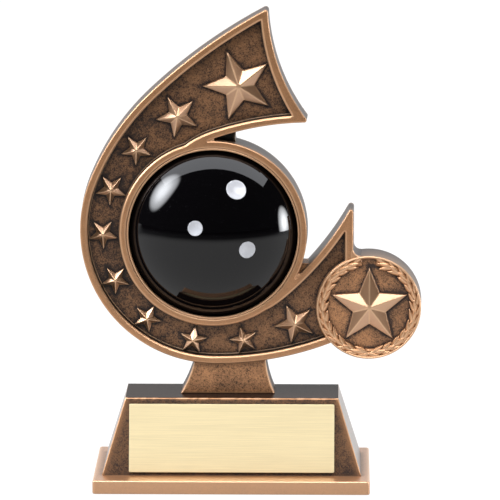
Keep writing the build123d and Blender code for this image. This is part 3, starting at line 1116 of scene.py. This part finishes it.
def block_shell(low, high, top_half):
    """A tapered block, its wash rubbed thin near the upright edges and along the top, and painted shade along
    its foot.
    """
    shell = Shell()
    z_low, z_high = low.z - 0.3, high.z
    foot, top = [], []
    for x, y in ((-1, -1), (1, -1), (1, 1), (-1, 1)):
        foot.append(Vector((high.x if x > 0 else low.x, high.y if y > 0 else low.y, z_low)))
        top.append(Vector((x * top_half[0], y * top_half[1], z_high)))
    tall, steps = 24, 60
    for i in range(4):
        a, b, c, d = foot[i], foot[(i + 1) % 4], top[(i + 1) % 4], top[i]
        rows = []
        for v in np.linspace(0, 1, tall):
            left, right = a.lerp(d, v), b.lerp(c, v)
            length = (right - left).length
            below = (1 - v) * (z_high - z_low)
            # Painted shade along the foot, where the block stands on the plinth.
            grime = 0.25 * math.exp(-((9 * v) ** 2))
            row = []
            for u in np.linspace(0, 1, steps):
                near = min(u, 1 - u) * length
                wear = 0.5 * math.exp(-((near / 1.4) ** 2)) + 0.5 * math.exp(-((below / 0.5) ** 2))
                row.append(shell.add(left.lerp(right, u), min(wear, 1.0), grime))
            rows.append(row)
        shell.grid(rows, 2 * (i % 2))
    lid = []
    for v in np.linspace(0, 1, tall):
        y = top[0].y + (top[3].y - top[0].y) * v
        row = [(top[0].x + (top[1].x - top[0].x) * u, y, z_high) for u in np.linspace(0, 1, steps)]
        lid.append([shell.add(point) for point in row])
    shell.grid(lid, 1)
    shell.face([shell.add(p) for p in foot])
    return shell


class AWARD_OT_base(bpy.types.Operator):
    """Build the plinth, the tapered block and the engraving plate"""

    bl_idname = "award.base"
    bl_label = "Base"

    def execute(self, context):
        low, high = box_mm("base_block")
        mesh = frame["nodes"]["base_block"].data
        top = [v.co / MM for v in mesh.vertices if v.co.z / MM > high.z - 0.01]
        shell = block_shell(low, high, (max(p.x for p in top), max(p.y for p in top)))
        finishes = [copper(k) for k in ("block_copper", "top_gloss", "block_side", "rim_copper")]
        shell.piece("block", finishes, "base_bronze", ["base_block"], bevel=0.4)
        self.plinth(high)
        self.plate()
        return {"FINISHED"}

    def plinth(self, foot):
        """The plinth, with softened top edges, painted shade along its bottom edge, and painted shade with
        the wash gathered along the block's foot.
        """
        low, high = box_mm("foot_plinth")
        shell, rings = Shell(), []
        outline = slab(high.x, high.y, 1.2, 7)
        for out, z, wear, grime in (
            (-0.5, low.z, 0, 0.6),
            (-0.1, low.z + 0.12, 0.2, 0.5),
            (0, low.z + 0.5, 0.2, 0.1),
            (0, high.z - 0.75, 0.3, 0),
            (-0.07, high.z - 0.35, 0.9, 0),
            (-0.28, high.z - 0.1, 1.0, 0),
            (-0.65, high.z, 0.5, 0),
            (-1.2, high.z, 0.1, 0),
        ):
            rings.append([shell.add((*p, z), wear, grime) for p in grow(outline, out)])
        # Painted shade with the wash, deepening towards the block's foot.
        for out, grime in ((1.5, 0.0), (0.6, 0.5), (-0.5, 0.9)):
            beside = slab(foot.x + out, foot.y + out, 0.6 + max(out, 0), 7)
            rings.append([shell.add((*p, high.z), 0, grime) for p in beside])
        shell.tube(rings)
        shell.face(rings[0])
        shell.face(rings[-1])
        shell.piece("plinth", [copper("plinth_copper")], "base_bronze", ["foot_plinth"])

    def plate(self):
        """A thin plate with rounded corners, brushed along its length."""
        mesh = frame["nodes"]["engraving_plate"].data
        points = [v.co / MM for v in mesh.vertices]
        normal = max(mesh.polygons, key=lambda f: -f.normal.y * f.area).normal
        across = Vector((1, 0, 0))
        up = normal.cross(across).normalized()

        def span(way):
            """The plate's near and far end along a direction."""
            along = [point.dot(way) for point in points]
            return min(along), max(along)

        (left, right), (bottom, top), (rear, front) = span(across), span(up), span(normal)
        middle = across * (left + right) / 2 + up * (bottom + top) / 2 + normal * front
        outline = slab((right - left) / 2, (top - bottom) / 2, 0.5, 5)
        shell, rings = Shell(), []
        for out, deep in ((0, front - rear), (0, 0.14), (-0.05, 0.04), (-0.16, 0.0)):
            ring = [middle + across * p[0] + up * p[1] - normal * deep for p in grow(outline, out)]
            rings.append([shell.add(p) for p in ring])
        shell.tube(rings)
        shell.face(rings[0])
        shell.face(rings[-1])
        shell.piece("name_plate", [self.brushed()], "brushed_gold", ["engraving_plate"])

    def brushed(self):
        g = new_finish("brushed_gold")
        strokes = g.noise(g.place((0.02, 3.0, 3.0)), 2.2, 5.0, 0.7)
        wide = g.noise(g.place((0.01, 0.4, 0.4)), 1.0, 2.0)
        gold = colour("plate")
        return g.finish(
            Base_Color=g.mix(strokes.above(0.38, 0.25) * 0.7 + wide * 0.3, shade(gold, 0.8), gold),
            Roughness=strokes * 0.14 + 0.36,
            Metallic=0.4,
            Normal=g.bump(strokes, 0.12, 0.03),
            Coat_Weight=0.1,
        )


class AWARD_OT_fittings(bpy.types.Operator):
    """Give the felt, the tapes and the fastenings their finishes"""

    bl_idname = "award.fittings"
    bl_label = "Felt and fastenings"

    def execute(self, context):
        def plain(name, tone, other, scale, grain, roughness, metallic):
            g = new_finish(name)
            n = g.noise(g.place(), scale, 4.0, 0.65)
            return g.finish(
                Base_Color=g.mix(n.above(0.35, 0.3), tone, other),
                Roughness=n * 0.2 + roughness,
                Metallic=metallic,
                Normal=g.bump(n, grain, 0.15),
            )

        felt = plain("black_felt", (0.018, 0.018, 0.02), (0.05, 0.05, 0.055), 3.0, 0.8, 0.78, 0.0)
        foam = plain("foam_tape", (0.72, 0.72, 0.68), (0.82, 0.82, 0.78), 2.0, 0.3, 0.7, 0.0)
        steel = plain("zinc_steel", (0.52, 0.53, 0.53), (0.66, 0.66, 0.65), 0.8, 0.1, 0.26, 1.0)
        brass = plain("turned_brass", (0.66, 0.47, 0.18), (0.78, 0.60, 0.28), 1.2, 0.1, 0.24, 1.0)
        given = {
            "felt_pad": felt, "plate_tape": foam, "ball_pad": foam, "threaded_insert": brass,
            "hold_down_rod": steel, "hold_down_nut": steel, "hold_down_washer": steel,
            "medallion_pins": steel, "pedestal_pins": steel,
        }
        for node, finish in given.items():
            mesh = frame["nodes"][node].data
            mesh.materials.clear()
            mesh.materials.append(finish)
        return {"FINISHED"}


class AWARD_OT_stage(bpy.types.Operator):
    """Set up the pale floor, the soft lights and the camera"""

    bl_idname = "award.stage"
    bl_label = "Stage"

    # The spot the lamps point at, in metres.
    middle = Vector((0.0, 0.0, 0.09))
    # Name, azimuth, height and roll in degrees, distance and size in metres, radiance, colour, and
    # whether the lamp is an even rectangle or an oval that falls off towards its edge.
    lamps = (
        ("overhead", 0.0, 83.7, 0.0, 1.25, (3.0, 0.43), 4.2, (0.93, 0.95, 1.0), True),
        ("left_soft", -74.5, 33.5, -11.0, 1.35, (0.64, 1.10), 19.5, (0.93, 0.955, 1.0), False),
        ("right_strip", 87.0, 2.0, 0.0, 1.0, (0.32, 0.54), 21.0, (0.95, 0.97, 1.0), False),
        ("front_high", 4.0, 51.0, 0.0, 1.5, (1.4, 0.6), 8.6, (1.0, 0.99, 0.99), True),
    )

    def execute(self, context):
        scene = context.scene
        glow = self.glowing()
        reach = 7.0
        square = [(-reach, -reach, 0), (reach, -reach, 0), (reach, reach, 0), (-reach, reach, 0)]
        self.sheet("floor", square, glow)
        self.sheet("backdrop", [(-5, 2.4, 0), (5, 2.4, 0), (5, 2.4, 3.2), (-5, 2.4, 3.2)], glow)
        self.surroundings(scene)
        placed = {lamp[0]: self.lamp(*lamp) for lamp in self.lamps}
        metal = bpy.data.collections.new("lit from high in front")
        for piece in scene.collection.objects:
            if piece.type == "MESH" and not piece.name.startswith("half_ball"):
                metal.objects.link(piece)
        placed["front_high"].light_linking.receiver_collection = metal
        camera = bpy.data.cameras.new("camera")
        camera.lens, camera.sensor_width = 355.03, 36.0
        camera.clip_start, camera.clip_end = 0.05, 60.0
        eye = bpy.data.objects.new("camera", camera)
        scene.collection.objects.link(eye)
        eye.location = (0.038078, -1.808131, 0.405826)
        aim = Vector((0.006517, 0.0, 0.086955)) - eye.location
        eye.rotation_euler = aim.to_track_quat("-Z", "Y").to_euler()
        scene.camera = eye
        scene.view_settings.view_transform = "Standard"
        return {"FINISHED"}

    def glowing(self):
        """Plain white to the camera; in reflections it fades towards the viewer, like a table's edge."""
        g = new_finish("pale_floor")
        spot = g.node("TexCoord", {}, {}, "Object")
        flat = g.node("VectorMath", {"operation": "MULTIPLY"}, {0: spot, 1: (0.8, 1.0, 0.0)})
        off = g.node("VectorMath", {"operation": "LENGTH"}, {0: flat}, "Value")
        depth = g.node("SeparateXYZ", {}, {0: spot}, "Y")
        table = g.fade(depth, -0.1, 0.2).at_least(g.fade(off, 0.72, 0.36))
        seen = g.node("LightPath", {}, {}, "Is Camera Ray")
        glow = g.mix(table.at_least(seen), (0.0, 0.0, 0.0), (1.0, 1.0, 1.0))
        return g.finish(
            Base_Color=(0.02, 0.02, 0.02),
            Roughness=0.9,
            Emission_Color=glow,
            Emission_Strength=1.0,
        )

    def sheet(self, name, corners, finish):
        mesh = bpy.data.meshes.new(name)
        mesh.from_pydata(corners, [], [(0, 1, 2, 3)])
        mesh.materials.append(finish)
        sheet = bpy.data.objects.new(name, mesh)
        bpy.context.scene.collection.objects.link(sheet)

    def surroundings(self, scene):
        """White to the camera and nearly dark to everything else."""
        scene.world = bpy.data.worlds.new("studio")
        g = Graph(scene.world, "World Output")
        dim = g.node("Background", {}, {"Color": (0.9, 0.95, 1.0), "Strength": 0.04})
        pale = g.node("Background", {}, {"Color": (1.0, 1.0, 1.0), "Strength": 1.0})
        seen = g.node("LightPath", {}, {}, "Is Camera Ray")
        g.finish(Surface=g.node("MixShader", {}, {0: seen, 1: dim, 2: pale}))

    def lamp(self, name, azimuth, height, roll, distance, extent, radiance, tint, even):
        light = bpy.data.lights.new(name, "AREA")
        light.shape = "RECTANGLE" if even else "ELLIPSE"
        light.size, light.size_y = extent
        light.energy = radiance * math.pi * extent[0] * extent[1] * (1.0 if even else math.pi / 4)
        light.color = tint
        lamp = bpy.data.objects.new(name, light)
        a, e = math.radians(azimuth), math.radians(height)
        way = Vector((math.sin(a) * math.cos(e), -math.cos(a) * math.cos(e), math.sin(e)))
        lamp.location = self.middle + way * distance
        turned = Quaternion((0, 0, 1), math.radians(roll))
        lamp.rotation_euler = ((-way).to_track_quat("-Z", "Y") @ turned).to_euler()
        bpy.context.scene.collection.objects.link(lamp)
        if not even:
            self.soften(light)
        return lamp

    def soften(self, light):
        """Let the light fall off towards its edge, as cloth in front of a lamp does."""
        g = Graph(light, "Emission")
        where = g.node("NewGeometry", {}, {}, "Parametric")
        off = g.node("VectorMath", {"operation": "DISTANCE"}, {0: where, 1: (0.5, 0.5, 0.0)}, "Value")
        edge = g.fade(off, 0.5, 0.36)
        core = g.fade(off, 0.42, 0.05, 0.55, 1.6)
        g.finish(Strength=edge * core)


OPERATORS = (
    AWARD_OT_plaque,
    AWARD_OT_stars,
    AWARD_OT_ball,
    AWARD_OT_medallion,
    AWARD_OT_pedestal,
    AWARD_OT_base,
    AWARD_OT_fittings,
    AWARD_OT_stage,
)


class AWARD_PT_panel(bpy.types.Panel):
    """The award's sizes, colours and pieces."""

    bl_label = "Bowling award"
    bl_idname = "AWARD_PT_panel"
    bl_space_type = "VIEW_3D"
    bl_region_type = "UI"
    bl_category = "Award"

    def draw(self, context):
        for group in (context.scene.award_sizes, context.scene.award_finish):
            for name in group.__annotations__:
                self.layout.prop(group, name)
        for operator in OPERATORS:
            self.layout.operator(operator.bl_idname)


CLASSES = (AwardSizes, AwardFinish, *OPERATORS, AWARD_PT_panel)


def register():
    for kind in CLASSES:
        bpy.utils.register_class(kind)
    bpy.types.Scene.award_sizes = bpy.props.PointerProperty(type=AwardSizes)
    bpy.types.Scene.award_finish = bpy.props.PointerProperty(type=AwardFinish)


def unregister():
    del bpy.types.Scene.award_sizes, bpy.types.Scene.award_finish
    for kind in reversed(CLASSES):
        bpy.utils.unregister_class(kind)


def main():
    register()
    for operator in OPERATORS:
        section, name = operator.bl_idname.split(".")
        getattr(getattr(bpy.ops, section), name)()
    bpy.context.view_layer.update()


if __name__ == "__main__":
    main()
